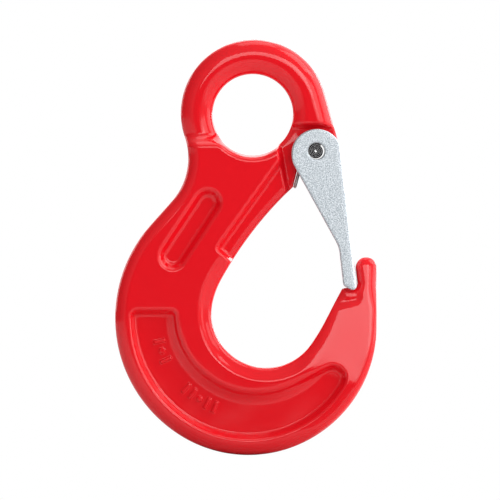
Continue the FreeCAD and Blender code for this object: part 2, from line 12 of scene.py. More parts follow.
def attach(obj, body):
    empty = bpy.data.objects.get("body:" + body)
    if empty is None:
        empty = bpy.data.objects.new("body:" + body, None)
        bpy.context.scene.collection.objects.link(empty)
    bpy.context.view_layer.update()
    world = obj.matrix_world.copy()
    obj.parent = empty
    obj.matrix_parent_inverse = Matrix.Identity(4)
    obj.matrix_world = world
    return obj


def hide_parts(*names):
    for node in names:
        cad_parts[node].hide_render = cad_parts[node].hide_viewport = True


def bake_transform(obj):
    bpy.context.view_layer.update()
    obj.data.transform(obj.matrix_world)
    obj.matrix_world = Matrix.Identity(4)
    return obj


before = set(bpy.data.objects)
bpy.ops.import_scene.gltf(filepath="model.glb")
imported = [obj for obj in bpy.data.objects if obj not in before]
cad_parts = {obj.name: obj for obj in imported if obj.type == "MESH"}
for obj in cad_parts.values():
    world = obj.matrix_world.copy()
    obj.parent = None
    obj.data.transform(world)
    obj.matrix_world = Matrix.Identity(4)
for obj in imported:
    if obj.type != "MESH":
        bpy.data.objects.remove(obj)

MM = 0.001
LOG = logging.getLogger("eye_hook")


class Body(Enum):
    """Moving bodies of the hook."""

    HOOK = "hook"
    LATCH = "latch"


# ---------------------------------------------------------------- small maths


def linear(hex_colour: str) -> tuple[float, float, float, float]:
    """Convert a colour as read on a screen to the linear values that shaders take.

    Args:
        hex_colour: Colour as "#RRGGBB".

    Returns:
        Linear red, green, blue and an alpha of 1.
    """
    screen = np.array([int(hex_colour[i : i + 2], 16) for i in (1, 3, 5)]) / 255
    value = np.where(screen <= 0.04045, screen / 12.92, ((screen + 0.055) / 1.055) ** 2.4)
    return (float(value[0]), float(value[1]), float(value[2]), 1.0)


@dataclass(frozen=True)
class Span:
    """Two ends of a soft step.

    Attributes:
        low: Value at which the step starts.
        high: Value at which it is over.
    """

    low: float
    high: float

    def share(self, value: np.ndarray) -> np.ndarray:
        """Tell how far values are through the step, level at both ends.

        Args:
            value: Any array.

        Returns:
            Array from 0 at low to 1 at high.
        """
        share = np.clip((value - self.low) / (self.high - self.low), 0, 1)
        return share * share * (3 - 2 * share)


def mix(a: np.ndarray | float, b: np.ndarray | float, share: np.ndarray) -> np.ndarray:
    """Blend from a (share 0) to b (share 1).

    Args:
        a: First value.
        b: Second value.
        share: Array from 0 to 1.

    Returns:
        The blend.
    """
    return a + (b - a) * share


# ---------------------------------------------------------------- outlines


def loops_at(node: bpy.types.Object, level: float) -> list[np.ndarray]:
    """Cut a CAD node at one Y and give its outlines.

    Args:
        node: CAD node.
        level: Y of the cut in mm.

    Returns:
        Closed outlines as (n, 2) arrays of X and Z in mm.
    """
    mesh = bmesh.new()
    mesh.from_mesh(node.data)
    bmesh.ops.remove_doubles(mesh, verts=mesh.verts[:], dist=1e-6)
    everything = mesh.verts[:] + mesh.edges[:] + mesh.faces[:]
    cut = bmesh.ops.bisect_plane(
        mesh, geom=everything, dist=1e-8, plane_co=(0, level * MM, 0), plane_no=(0, 1, 0)
    )
    edges = [item for item in cut["geom_cut"] if isinstance(item, bmesh.types.BMEdge)]
    mesh.verts.index_update()
    joined: dict[int, list[int]] = {}
    place: dict[int, tuple[float, float]] = {}
    for edge in edges:
        a, b = edge.verts
        joined.setdefault(a.index, []).append(b.index)
        joined.setdefault(b.index, []).append(a.index)
        place[a.index] = (a.co.x / MM, a.co.z / MM)
        place[b.index] = (b.co.x / MM, b.co.z / MM)
    mesh.free()
    loops = []
    while joined:
        start = next(iter(joined))
        chain = [start]
        before, here = None, start
        while True:
            others = [k for k in joined[here] if k != before]
            if not others or others[0] == start:
                break
            before, here = here, others[0]
            chain.append(here)
        for index in chain:
            joined.pop(index, None)
        if len(chain) > 3:
            loops.append(np.array([place[i] for i in chain]))
    return loops


def area(loop: np.ndarray) -> float:
    """Signed area of a closed outline, positive when it runs anticlockwise.

    Args:
        loop: Outline.

    Returns:
        Area in mm².
    """
    after = np.roll(loop, -1, axis=0)
    return float(np.sum(loop[:, 0] * after[:, 1] - after[:, 0] * loop[:, 1]) / 2)


def smooth_loop(loop: np.ndarray, spacing: float, corner: float = 25.0) -> np.ndarray:
    """Draw a smooth curve through a polygon's points, and keep its real corners.

    Each side becomes a cubic arc that leaves and meets its points along the polygon's mean direction there.

    Args:
        loop: Closed outline.
        spacing: Distance between the new points in mm.
        corner: Turn in degrees from which a point stays a corner.

    Returns:
        Closed outline, anticlockwise.
    """
    if area(loop) < 0:
        loop = loop[::-1]
    for _ in range(3):
        ahead = np.roll(loop, -1, axis=0) - loop
        long_enough = np.hypot(*ahead.T) > 1e-3
        loop = loop[long_enough]
        ahead = np.roll(loop, -1, axis=0) - loop
        angle = np.arctan2(ahead[:, 1], ahead[:, 0])
        turn = (angle - np.roll(angle, 1) + math.pi) % (2 * math.pi) - math.pi
        loop = loop[np.abs(turn) > math.radians(0.15)]
    side = np.roll(loop, -1, axis=0) - loop
    length = np.hypot(*side.T)
    angle = np.arctan2(side[:, 1], side[:, 0])
    turn = (angle - np.roll(angle, 1) + math.pi) % (2 * math.pi) - math.pi
    share = np.roll(length, 1) / (length + np.roll(length, 1))
    rounded = np.abs(turn) < math.radians(corner)
    leave = np.where(rounded, angle - turn * share, angle)
    meet = np.roll(np.where(rounded, angle - turn * share, np.roll(angle, 1)), -1)
    count = np.maximum(1, np.round(length / spacing)).astype(int)
    which = np.repeat(np.arange(len(loop)), count)
    first = np.repeat(np.cumsum(count) - count, count)
    u = ((np.arange(len(which)) - first) / count[which])[:, None]
    a, b = loop[which], np.roll(loop, -1, axis=0)[which]
    size = length[which][:, None]
    out = np.column_stack([np.cos(leave), np.sin(leave)])[which] * size
    into = np.column_stack([np.cos(meet), np.sin(meet)])[which] * size
    return (
        (2 * u**3 - 3 * u**2 + 1) * a
        + (u**3 - 2 * u**2 + u) * out
        + (3 * u**2 - 2 * u**3) * b
        + (u**3 - u**2) * into
    )


@dataclass(frozen=True)
class Outline:
    """One or more closed outlines on the hook's face, for distances and inside tests.

    Attributes:
        start: Start of each side.
        end: End of each side.
    """

    start: np.ndarray
    end: np.ndarray

    @classmethod
    def of(cls, loops: list[np.ndarray]) -> "Outline":
        """Join several loops.

        Args:
            loops: Closed outlines.

        Returns:
            Their sides.
        """
        return cls(np.vstack(loops), np.vstack([np.roll(loop, -1, axis=0) for loop in loops]))

    def near(self, points: np.ndarray) -> tuple[np.ndarray, np.ndarray]:
        """Find the nearest place of the outline for each point.

        Args:
            points: (n, 2) array.

        Returns:
            Distance, positive inside, and the nearest place.
        """
        along = self.end - self.start
        square = np.maximum((along**2).sum(1), 1e-12)
        found, where = [], []
        for part in np.array_split(points, max(1, len(points) * len(along) // 4_000_000)):
            reach = part[:, None, :] - self.start
            u = np.clip((reach * along).sum(2) / square, 0, 1)
            gap = ((reach - u[..., None] * along) ** 2).sum(2)
            best = gap.argmin(1)
            row = np.arange(len(part))
            place = self.start[best] + u[row, best][:, None] * along[best]
            level = (self.start[:, 1] > part[:, 1:]) != (self.end[:, 1] > part[:, 1:])
            rise = np.where(np.abs(along[:, 1]) < 1e-12, 1e-12, along[:, 1])
            cross = self.start[:, 0] + (part[:, 1:] - self.start[:, 1]) / rise * along[:, 0]
            inside = (level & (part[:, :1] < cross)).sum(1) % 2 == 1
            found.append(np.sqrt(gap[row, best]) * np.where(inside, 1, -1))
            where.append(place)
        return np.concatenate(found), np.vstack(where)


# ---------------------------------------------------------------- finishes


def new_material(name: str) -> tuple[bpy.types.Material, bpy.types.ShaderNode]:
    """Make a material with only its output and a principled shader.

    Args:
        name: Name of the real finish.

    Returns:
        The material and its principled shader.
    """
    material = bpy.data.materials.new(name)
    material.use_nodes = True
    material.node_tree.nodes.clear()
    output = add_node(material.node_tree, "ShaderNodeOutputMaterial")
    shader = add_node(material.node_tree, "ShaderNodeBsdfPrincipled")
    material.node_tree.links.new(shader.outputs["BSDF"], output.inputs["Surface"])
    return material, shader


def add_node(tree: bpy.types.NodeTree, kind: str, **values: object) -> bpy.types.Node:
    """Add one shader node, and set its inputs or its properties by name.

    Args:
        tree: Node tree.
        kind: Node type.
        values: Input names with _ for a space, or property names. A socket as a value is linked.

    Returns:
        The new node.
    """
    node = tree.nodes.new(kind)
    for name, value in values.items():
        label = name.replace("_", " ")
        if hasattr(node, name) and label not in node.inputs:
            setattr(node, name, value)
        elif isinstance(value, bpy.types.NodeSocket):
            tree.links.new(value, node.inputs[label])
        else:
            node.inputs[label].default_value = value
    return node


@dataclass(frozen=True)
class Enamel:
    """Thick glossy paint, baked on a forging: a pigment layer under a smooth clear skin.

    Attributes:
        name: Name of the finish.
        colour: Pigment.
        roughness: Roughness of the pigment layer.
        coat: Strength of the clear skin.
        coat_roughness: Roughness of the clear skin.
        peel: Width of the skin's slow waves in mm.
        peel_height: Height of those waves in mm.
    """

    name: str
    colour: str
    roughness: float
    coat: float
    coat_roughness: float
    peel: float
    peel_height: float

    def material(self) -> bpy.types.Material:
        """Build the finish.

        Returns:
            The material.
        """
        material, shader = new_material(self.name)
        tree = material.node_tree
        place = add_node(tree, "ShaderNodeTexCoord").outputs["Object"]
        wave = add_node(
            tree, "ShaderNodeTexNoise", Vector=place, Scale=1 / (self.peel * MM), Detail=2.0, Roughness=0.5
        )
        bump = add_node(
            tree,
            "ShaderNodeBump",
            Strength=1.0,
            Distance=self.peel_height * MM,
            Height=wave.outputs["Fac"],
        )
        shader.inputs["Base Color"].default_value = linear(self.colour)
        shader.inputs["Roughness"].default_value = self.roughness
        shader.inputs["Specular IOR Level"].default_value = 0.0
        shader.inputs["Coat Weight"].default_value = self.coat
        shader.inputs["Coat Roughness"].default_value = self.coat_roughness
        tree.links.new(bump.outputs["Normal"], shader.inputs["Normal"])
        tree.links.new(bump.outputs["Normal"], shader.inputs["Coat Normal"])
        return material


@dataclass(frozen=True)
class Metal:
    """Bare or plated metal with a fine grain.

    Attributes:
        name: Name of the finish.
        dark: Colour of the grain's low spots.
        light: Colour of its high spots.
        roughness: Roughness.
        grain: Width of one grain in mm.
        grain_height: Height of the grain in mm.
        metallic: How far it is metal and not oxide.
    """

    name: str
    dark: str
    light: str
    roughness: float
    grain: float
    grain_height: float
    metallic: float = 1.0

    def material(self) -> bpy.types.Material:
        """Build the finish.

        Returns:
            The material.
        """
        material, shader = new_material(self.name)
        tree = material.node_tree
        place = add_node(tree, "ShaderNodeTexCoord").outputs["Object"]
        grain = add_node(
            tree, "ShaderNodeTexNoise", Vector=place, Scale=1 / (self.grain * MM), Detail=3.0, Roughness=0.6
        )
        colour = add_node(tree, "ShaderNodeValToRGB", Fac=grain.outputs["Fac"])
        colour.color_ramp.elements[0].position = 0.35
        colour.color_ramp.elements[0].color = linear(self.dark)
        colour.color_ramp.elements[1].position = 0.65
        colour.color_ramp.elements[1].color = linear(self.light)
        bump = add_node(
            tree,
            "ShaderNodeBump",
            Strength=1.0,
            Distance=self.grain_height * MM,
            Height=grain.outputs["Fac"],
        )
        shader.inputs["Metallic"].default_value = self.metallic
        shader.inputs["Roughness"].default_value = self.roughness
        tree.links.new(colour.outputs["Color"], shader.inputs["Base Color"])
        tree.links.new(bump.outputs["Normal"], shader.inputs["Normal"])
        return material


# Glossy red enamel over the forging. Its waves are 5 mm wide, as thick paint draws itself on a forged skin.
RED_ENAMEL = Enamel("red_enamel", "#EA101D", 0.45, 1.0, 0.08, 5.0, 0.012)
# Zinc plating over the latch's cast skin: light, matt and granular. The real grain is under 0.1 mm, too fine
# to show, so it is drawn 0.33 mm wide.
ZINC_PLATE = Metal("zinc_plate", "#909BA3", "#E4E9ED", 0.38, 0.33, 0.06, 0.85)
# Black oiled steel of the rolled pin, with drawing marks 0.3 mm apart, coarser than the real ones.
BLACK_STEEL = Metal("black_steel", "#0C0B0E", "#242226", 0.38, 0.3, 0.008, 0.6)
# Bright drawn spring wire. Its grain is drawn 0.5 mm wide and hardly shows.
SPRING_STEEL = Metal("spring_steel", "#8E8A88", "#B5B1AE", 0.32, 0.5, 0.004)


# ---------------------------------------------------------------- meshes


def solid(name: str, points: np.ndarray, faces: list | np.ndarray) -> bpy.types.Object:
    """Make a smooth mesh object from points in mm.

    Args:
        name: Object name.
        points: (n, 3) array in mm.
        faces: Point numbers of each face.

    Returns:
        The object, at the origin.
    """
    mesh = bpy.data.meshes.new(name)
    mesh.from_pydata((points * MM).tolist(), [], faces if isinstance(faces, list) else faces.tolist())
    mesh.update()
    mesh.polygons.foreach_set("use_smooth", np.ones(len(mesh.polygons), bool))
    made = bpy.data.objects.new(name, mesh)
    bpy.context.scene.collection.objects.link(made)
    return made


def dress(
    piece: bpy.types.Object, finish: bpy.types.Material, body: Body, stands_for: str
) -> None:
    """Give a new piece its finish and its body, and hide the CAD node that it stands for.

    Args:
        piece: The object.
        finish: Its material.
        body: Body that it rides on.
        stands_for: CAD node that it replaces.
    """
    piece.data.materials.append(finish)
    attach(piece, body.value)
    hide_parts(stands_for)


def triangle_grid(step: float, low: np.ndarray, high: np.ndarray) -> np.ndarray:
    """Spread points in rows, each row half a step along from the last.

    Args:
        step: Spacing.
        low: Lower corner.
        high: Upper corner.

    Returns:
        (n, 2) array.
    """
    rows = np.arange(low[1], high[1], step * math.sqrt(0.75))
    columns = np.arange(low[0], high[0], step)
    x, z = np.meshgrid(columns, rows)
    x = x + (np.arange(len(rows)) % 2)[:, None] * step / 2
    return np.column_stack([x.ravel(), z.ravel()])


def rounded_edge(
    level: np.ndarray, distance: np.ndarray, reach: np.ndarray | float, foot: np.ndarray
) -> np.ndarray:
    """Round an edge as a quarter ellipse of the distance to the outline.

    Args:
        level: Half thickness away from the edge.
        distance: Distance to the edge.
        reach: Distance at which the rounding ends.
        foot: Half thickness at the edge itself.

    Returns:
        Half thickness.
    """
    share = 1 - np.clip(distance / reach, 0, 1)
    return foot + (level - foot) * np.sqrt(np.maximum(1 - share * share, 0))


@dataclass(frozen=True)
class Line:
    """A straight step across the hook's face.

    Attributes:
        x: X of a point on it.
        z: Z of the same point.
        direction: Direction across it, towards the lower side, in degrees.
    """

    x: float
    z: float
    direction: float

    def past(self, p: np.ndarray) -> np.ndarray:
        """Measure how far points lie past the line.

        Args:
            p: Points.

        Returns:
            Distance, negative before the line.
        """
        a = math.radians(self.direction)
        return (p[:, 0] - self.x) * math.cos(a) + (p[:, 1] - self.z) * math.sin(a)


@dataclass(frozen=True)
class Circle:
    """A circle on the hook's face.

    Attributes:
        x: X of its centre.
        z: Z of its centre.
        radius: Its radius.
    """

    x: float
    z: float
    radius: float = 0.0

    def past(self, p: np.ndarray) -> np.ndarray:
        """Measure how far points lie outside the circle.

        Args:
            p: Points.

        Returns:
            Distance, negative inside.
        """
        return np.hypot(p[:, 0] - self.x, p[:, 1] - self.z) - self.radius


@dataclass(frozen=True)
class Edge:
    """How a face rounds off at the outline.

    Attributes:
        width: Width of the rounding.
        foot: Half thickness that is left at the outline.
    """

    width: float
    foot: float


@dataclass(frozen=True)
class Forging:
    """The red forging: a sheet on each face whose half thickness is a formula of X and Z, joined by a wall.

    Lengths are in mm. The outline, the pockets' edges and the marks are taken from the CAD node.

    Attributes:
        plateau: Half thickness of the thick body.
        thin: Half thickness of the eye, the panel and the finger.
        lug: Half thickness of the lug.
        pocket: Depth of the crescent.
        slot: Depth of the oval pocket.
        mark: Height of the marks.
        sway: Depth of the forged skin's slow unevenness.
        taper_slope: Half of the fall per mm towards the tip.
        lattice: Spacing of the sheet's points.
        fine: Spacing around the marks.
        lattice_from: Distance from the outline at which the lattice starts.
        mark_room: Distance from the marks within which the points lie fine.
        mark_margin: Room around the marks' box for the fine points.
        rings: Distances of the rows of points that follow each outline.
        bore: The eye's bore.
        pin: Centre that the latch's reach is measured from.
        bowl: The bowl's centre.
        crown: Upper edge of the crescent.
        slot_middle: Middle of the oval pocket.
        taper: Line from which the tip gets thinner.
        panel: Upper edge of the thin panel.
        lug_step: Left edge of the lug.
        tip_side: X from which the tip's half begins.
        tip_below: Z under which the tip's half lies.
        eye_foot: Depth under the bore's centre over which the eye goes over into the body.
        seat_reach: Step at the latch's reach, before which the seat lies.
        seat_end: X over which the seat ends.
        finger_root: Z over which the finger's own edges begin.
        panel_step: Width of the step down to the panel.
        panel_reach: Step at the latch's reach, before which the panel lies.
        lug_side: Width of the step down to the lug.
        lug_top: Depth under the bore's centre over which the lug begins.
        lug_bottom: Z at which the lug ends.
        body_edge: Edge of the thick body.
        finger_edge: Edge of the finger.
        panel_edge: Edge of the panel.
        eye_edge: Edge of the eye.
        lug_edge: Edge of the lug.
        tip_from: X over which the edges of the tip's half begin.
        tip_until: Z over which they end.
        tip_inner: Width of the rounding inside the bowl, near the tip.
        tip_outer: Width of the rounding outside it.
        inner_reach: Distance from the bowl's centre under which an edge is an inner one.
        pocket_wall: Slope of the crescent's wall.
        crown_wall: Slope of its upper wall.
        slot_wall: Slope of the oval pocket's wall.
        mark_wall: Slope of the marks' sides.
        shoulder: Height of the flat shoulder around the bowl.
        shoulder_width: Distance from the outline over which the shoulder rises.
        shoulder_rim: Width of the shoulder's own rounding.
        shoulder_below: Depth under the bore's centre over which the shoulder begins.
        shoulder_reach: Distance from the bowl's centre over which it ends.
        shoulder_until: X over which it ends.
        lip: Width of the rounding at the bore, under the eye and in it.
        bore_foot: Half thickness that is left at the bore.
        hole_edge: Rounding at the pin's hole.
        outline_cut: Y of the cut that gives the outline.
        pocket_cut: Depth of the cut that gives the pockets' edges.
        mark_cut: Depth of the cut that gives the marks.
        pocket_area: Area in mm² that a pocket's edge is larger than.
        mark_area: Area in mm² that a mark is smaller than.
        crescent_below: Z that the crescent stays under.
        marks_below: Z that the marks stay under.
    """

    plateau: float = 8.5
    thin: float = 5.3
    lug: float = 3.0
    pocket: float = 2.6
    slot: float = 2.2
    mark: float = 0.75
    sway: float = 0.016
    taper_slope: float = 0.05
    lattice: float = 0.46
    fine: float = 0.17
    lattice_from: float = 2.3
    mark_room: float = 0.7
    mark_margin: float = 1.2
    rings: tuple[float, ...] = (0.06, 0.18, 0.38, 0.66, 1.0, 1.4, 1.82)
    bore: Circle = Circle(0.0, 0.0, 12.5)
    pin: Circle = Circle(19.81, -11.48)
    bowl: Circle = Circle(4.2, -61.9)
    crown: Circle = Circle(1.0, -62.0, 23.7)
    slot_middle: Circle = Circle(-19.5, -35.9)
    taper: Line = Line(29.0, -84.0, 70.0)
    panel: Line = Line(6.5, -16.0, -35.7)
    lug_step: Line = Line(8.3, -13.6, 11.0)
    tip_side: float = 12.7
    tip_below: float = -42.0
    eye_foot: Span = Span(6.0, 10.2)
    seat_reach: Span = Span(-50.0, -47.6)
    seat_end: Span = Span(32.0, 35.0)
    finger_root: Span = Span(-62.0, -52.0)
    panel_step: Span = Span(0.0, 2.1)
    panel_reach: Span = Span(-43.9, -42.2)
    lug_side: Span = Span(-0.3, 1.2)
    lug_top: Span = Span(2.5, 4.7)
    lug_bottom: float = -24.0
    body_edge: Edge = Edge(3.8, 5.3)
    finger_edge: Edge = Edge(2.9, 3.1)
    panel_edge: Edge = Edge(2.0, 3.3)
    eye_edge: Edge = Edge(5.0, 1.9)
    lug_edge: Edge = Edge(0.7, 2.4)
    tip_from: Span = Span(13.0, 22.0)
    tip_until: Span = Span(-62.0, -54.0)
    tip_inner: float = 5.2
    tip_outer: float = 1.9
    inner_reach: float = 29.5
    pocket_wall: Span = Span(-0.3, 2.1)
    crown_wall: Span = Span(-0.8, 4.6)
    slot_wall: Span = Span(-0.4, 2.5)
    mark_wall: Span = Span(-0.14, 0.16)
    shoulder: float = 1.1
    shoulder_width: Span = Span(1.4, 4.6)
    shoulder_rim: float = 1.9
    shoulder_below: Span = Span(43.0, 49.0)
    shoulder_reach: Span = Span(20.0, 25.0)
    shoulder_until: Span = Span(13.0, 20.0)
    lip: tuple[float, float] = (2.0, 5.0)
    bore_foot: float = 2.3
    hole_edge: float = 0.3
    outline_cut: float = 0.37
    pocket_cut: float = 0.25
    mark_cut: float = 2.35
    pocket_area: float = 60.0
    mark_area: float = 40.0
    crescent_below: float = -55.0
    marks_below: float = -62.0

    def eye_share(self, p: np.ndarray) -> np.ndarray:
        """Tell how far points belong to the eye.

        Args:
            p: Points.

        Returns:
            1 in the eye, 0 in the body below it.
        """
        return 1 - self.eye_foot.share(-p[:, 1])

    def levels(self, p: np.ndarray) -> tuple[np.ndarray, np.ndarray, np.ndarray]:
        """Half thickness without edges and pockets, with the width and foot of the edge rounding there.

        The thick body falls in soft steps to the eye, the lug, the panel and the seat, and in a flat taper to
        the tip.

        Args:
            p: Points.

        Returns:
            Level, edge width, and half height of the wall at the edge.
        """
        x, z = p.T
        reach = self.pin.past(p)
        tip = (x > self.tip_side) & (z < self.tip_below)
        taper = self.taper.past(p)
        fall = self.taper_slope * (taper + np.sqrt(taper * taper + 1))
        level = np.where(tip, self.plateau - fall, self.plateau)
        width = np.full(len(x), self.body_edge.width)
        foot = np.full(len(x), self.body_edge.foot)
        seat = np.where(tip, self.seat_reach.share(-reach) * (1 - self.seat_end.share(x)), 0)
        level = mix(level, np.minimum(level, self.thin), seat)
        finger = np.where(tip, self.finger_root.share(z), 0)
        width = mix(width, self.finger_edge.width, finger)
        foot = mix(foot, self.finger_edge.foot, finger)
        panel = self.panel_step.share(self.panel.past(p)) * self.panel_reach.share(-reach)
        lug = self.lug_side.share(self.lug_step.past(p)) * self.lug_top.share(-z) * (z > self.lug_bottom)
        for share, new_level, edge in (
            (np.where(tip, 0, panel), self.thin, self.panel_edge),
            (self.eye_share(p), self.thin, self.eye_edge),
            (lug, self.lug, self.lug_edge),
        ):
            level = mix(level, new_level, share)
            width = mix(width, edge.width, share)
            foot = mix(foot, edge.foot, share)
        return level, width, foot

    def half(self, p: np.ndarray, shapes: dict[str, Outline], front: bool) -> np.ndarray:
        """Half thickness at each point.

        Edges are quarter ellipses of the distance to the outline. Pockets go down by a smooth step of the
        distance to their own edge. Marks stand on the crescent's floor, on the front only.

        Args:
            p: Points.
            shapes: Outlines by name.
            front: Whether this is the marked face.

        Returns:
            Half thickness in mm.
        """
        x, z = p.T
        level, width, foot = self.levels(p)
        gap, place = shapes["outer"].near(p)
        from_bowl = self.bowl.past(place)
        inner_side = (from_bowl < self.inner_reach) & (z < self.tip_below)
        tip = self.tip_from.share(x) * (z < self.tip_below) * (1 - self.tip_until.share(z))
        width = mix(width, np.where(inner_side, self.tip_inner, self.tip_outer), tip)
        deep = self.pocket_wall.share(shapes["crescent"].near(p)[0])
        deep = deep * self.crown_wall.share(self.crown.past(p))
        level = level - self.pocket * deep - self.slot * self.slot_wall.share(shapes["slot"].near(p)[0])
        if front:
            level = level + self.mark * self.mark_wall.share(shapes["marks"].near(p)[0])
        # Two crossed waves, each bent by the other axis so that they never line up.
        waves = np.sin(x / 2.9 + 0.7 * np.sin(z / 4.3)) * np.sin(z / 3.7 + 0.9 * np.sin(x / 5.1))
        level = level - self.sway * (1 + waves)
        outer = rounded_edge(level, gap, width, np.minimum(foot, level))
        bevel = level - self.shoulder * (1 - self.shoulder_width.share(gap))
        bevel = np.minimum(bevel, rounded_edge(bevel, gap, self.shoulder_rim, foot))
        around = self.shoulder_below.share(-z) * (1 - self.shoulder_reach.share(from_bowl))
        outer = mix(outer, bevel, around * (1 - self.shoulder_until.share(x)))
        lip = mix(self.lip[0], self.lip[1], self.eye_share(p))
        inner = rounded_edge(level, self.bore.past(p), lip, np.minimum(self.bore_foot, level))
        pin = rounded_edge(level, -shapes["hole"].near(p)[0], self.hole_edge, level - self.hole_edge)
        return np.minimum(np.minimum(outer, inner), pin)

    def sheet(self, loops: list[np.ndarray], shapes: dict[str, Outline]) -> tuple[np.ndarray, np.ndarray]:
        """Spread points over the face and join them to triangles.

        Rows of points follow each outline, closest at the edge. A wide grid fills the rest, and a fine one
        fills the marks.

        Args:
            loops: Outer outline and holes.
            shapes: Outlines by name.

        Returns:
            Points and triangles, anticlockwise seen from the front.
        """
        edges, marks = Outline.of(loops), shapes["marks"]
        wide = triangle_grid(self.lattice, loops[0].min(0), loops[0].max(0))
        wide = wide[(edges.near(wide)[0] > self.lattice_from) & (marks.near(wide)[0] <= -self.mark_room)]
        low, high = marks.start.min(0) - self.mark_margin, marks.start.max(0) + self.mark_margin
        fine = triangle_grid(self.fine, low, high)
        fine = fine[(marks.near(fine)[0] > -self.mark_room) & (edges.near(fine)[0] > self.lattice_from)]
        rings, fixed, first = [], [], 0
        for loop in loops:
            ahead = np.roll(loop, -1, axis=0) - np.roll(loop, 1, axis=0)
            inward = np.column_stack([-ahead[:, 1], ahead[:, 0]]) / np.hypot(*ahead.T)[:, None]
            side = 1 if loop is loops[0] else -1
            for inset in self.rings:
                ring = loop + inward * inset * side
                rings.append(ring[np.abs(edges.near(ring)[0] - inset) < 0.1 * inset])
            numbers = np.arange(first, first + len(loop))
            fixed.append(np.column_stack([numbers, np.roll(numbers, -1)]))
            first += len(loop)
        points = np.vstack([*loops, *rings, wide, fine])
        LOG.info("forging sheet: %d points, %d on edges", len(points), first)
        made = geometry.delaunay_2d_cdt(
            [Vector(p) for p in points.tolist()], np.vstack(fixed).tolist(), [], 0, 1e-4
        )
        places = np.array([v[:] for v in made[0]])
        triangles = np.array(made[2])
        return places, triangles[edges.near(places[triangles].mean(1))[0] > 0]

    def shapes(self, node: bpy.types.Object) -> tuple[list[np.ndarray], dict[str, Outline]]:
        """Cut outlines from the CAD node near its middle, under its top face and over the crescent's floor.

        Args:
            node: CAD node of the hook.

        Returns:
            Outer outline with the two holes, and all outlines by name.
        """
        middle = sorted(loops_at(node, self.outline_cut), key=lambda loop: -abs(area(loop)))
        loops = [smooth_loop(loop, 0.42) for loop in middle[:3]]
        top = loops_at(node, self.pocket_cut - self.plateau)
        pockets = [loop for loop in top if abs(area(loop)) > self.pocket_area]
        slot = min(pockets, key=lambda loop: float(self.slot_middle.past(loop.mean(0)[None])[0]))
        low = [loop for loop in pockets if loop is not slot and loop[:, 1].max() < self.crescent_below]
        crescent = max(low, key=lambda loop: abs(area(loop)))
        floor = loops_at(node, self.mark_cut - self.plateau)
        small = [loop for loop in floor if abs(area(loop)) < self.mark_area]
        marks = [smooth_loop(loop, 0.2) for loop in small if loop[:, 1].max() < self.marks_below]
        LOG.info("marks: %d", len(marks))
        return loops, {
            "outer": Outline.of(loops[:1]),
            "hole": Outline.of(loops[2:]),
            "slot": Outline.of([smooth_loop(slot, 0.5)]),
            "crescent": Outline.of([smooth_loop(crescent, 0.5)]),
            "marks": Outline.of(marks),
        }

    def build(self, node: bpy.types.Object) -> bpy.types.Object:
        """Build the forging.

        Args:
            node: CAD node of the hook.

        Returns:
            The object.
        """
        loops, shapes = self.shapes(node)
        places, triangles = self.sheet(loops, shapes)
        x, z = places.T
        front = np.column_stack([x, -self.half(places, shapes, True), z])
        back = np.column_stack([x, self.half(places, shapes, False), z])
        count = len(places)
        sides = np.vstack([triangles[:, [0, 1]], triangles[:, [1, 2]], triangles[:, [2, 0]]])
        key = np.sort(sides, 1) @ np.array([count, 1])
        _, first, times = np.unique(key, return_index=True, return_counts=True)
        a, b = sides[first[times == 1]].T
        walls = np.column_stack([b, a, a + count, b + count])
        faces = triangles.tolist() + (triangles[:, ::-1] + count).tolist() + walls.tolist()
        made = solid("hook_forging", np.vstack([front, back]), faces)
        LOG.info("hook_forging: %d faces", len(made.data.polygons))
        return made


@dataclass(frozen=True)
class LatchCasting:
    """The latch's casting: the CAD channel with every edge softened as a casting's.

    Attributes:
        grain: Size of the remeshed faces in mm.
        passes: Smoothing passes.
    """

    grain: float = 0.26
    passes: int = 3

    def build(self, node: bpy.types.Object) -> bpy.types.Object:
        """Build the latch.

        Args:
            node: CAD node of the latch.

        Returns:
            The object.
        """
        copy = bpy.data.objects.new("latch_casting", node.data.copy())
        copy.data.materials.clear()
        bpy.context.scene.collection.objects.link(copy)
        mesh = bmesh.new()
        mesh.from_mesh(copy.data)
        bmesh.ops.remove_doubles(mesh, verts=mesh.verts[:], dist=1e-6)
        mesh.to_mesh(copy.data)
        mesh.free()
        remesh = copy.modifiers.new("grain", "REMESH")
        remesh.mode = "VOXEL"
        remesh.voxel_size = self.grain * MM
        smooth = copy.modifiers.new("soft", "SMOOTH")
        smooth.factor = 0.5
        smooth.iterations = self.passes
        shaped = copy.evaluated_get(bpy.context.evaluated_depsgraph_get())
        final = bpy.data.meshes.new_from_object(shaped)
        copy.modifiers.clear()
        copy.data = final
        final.polygons.foreach_set("use_smooth", np.ones(len(final.polygons), bool))
        final.update()
        LOG.info("latch_casting: %d faces", len(final.polygons))
        return copy


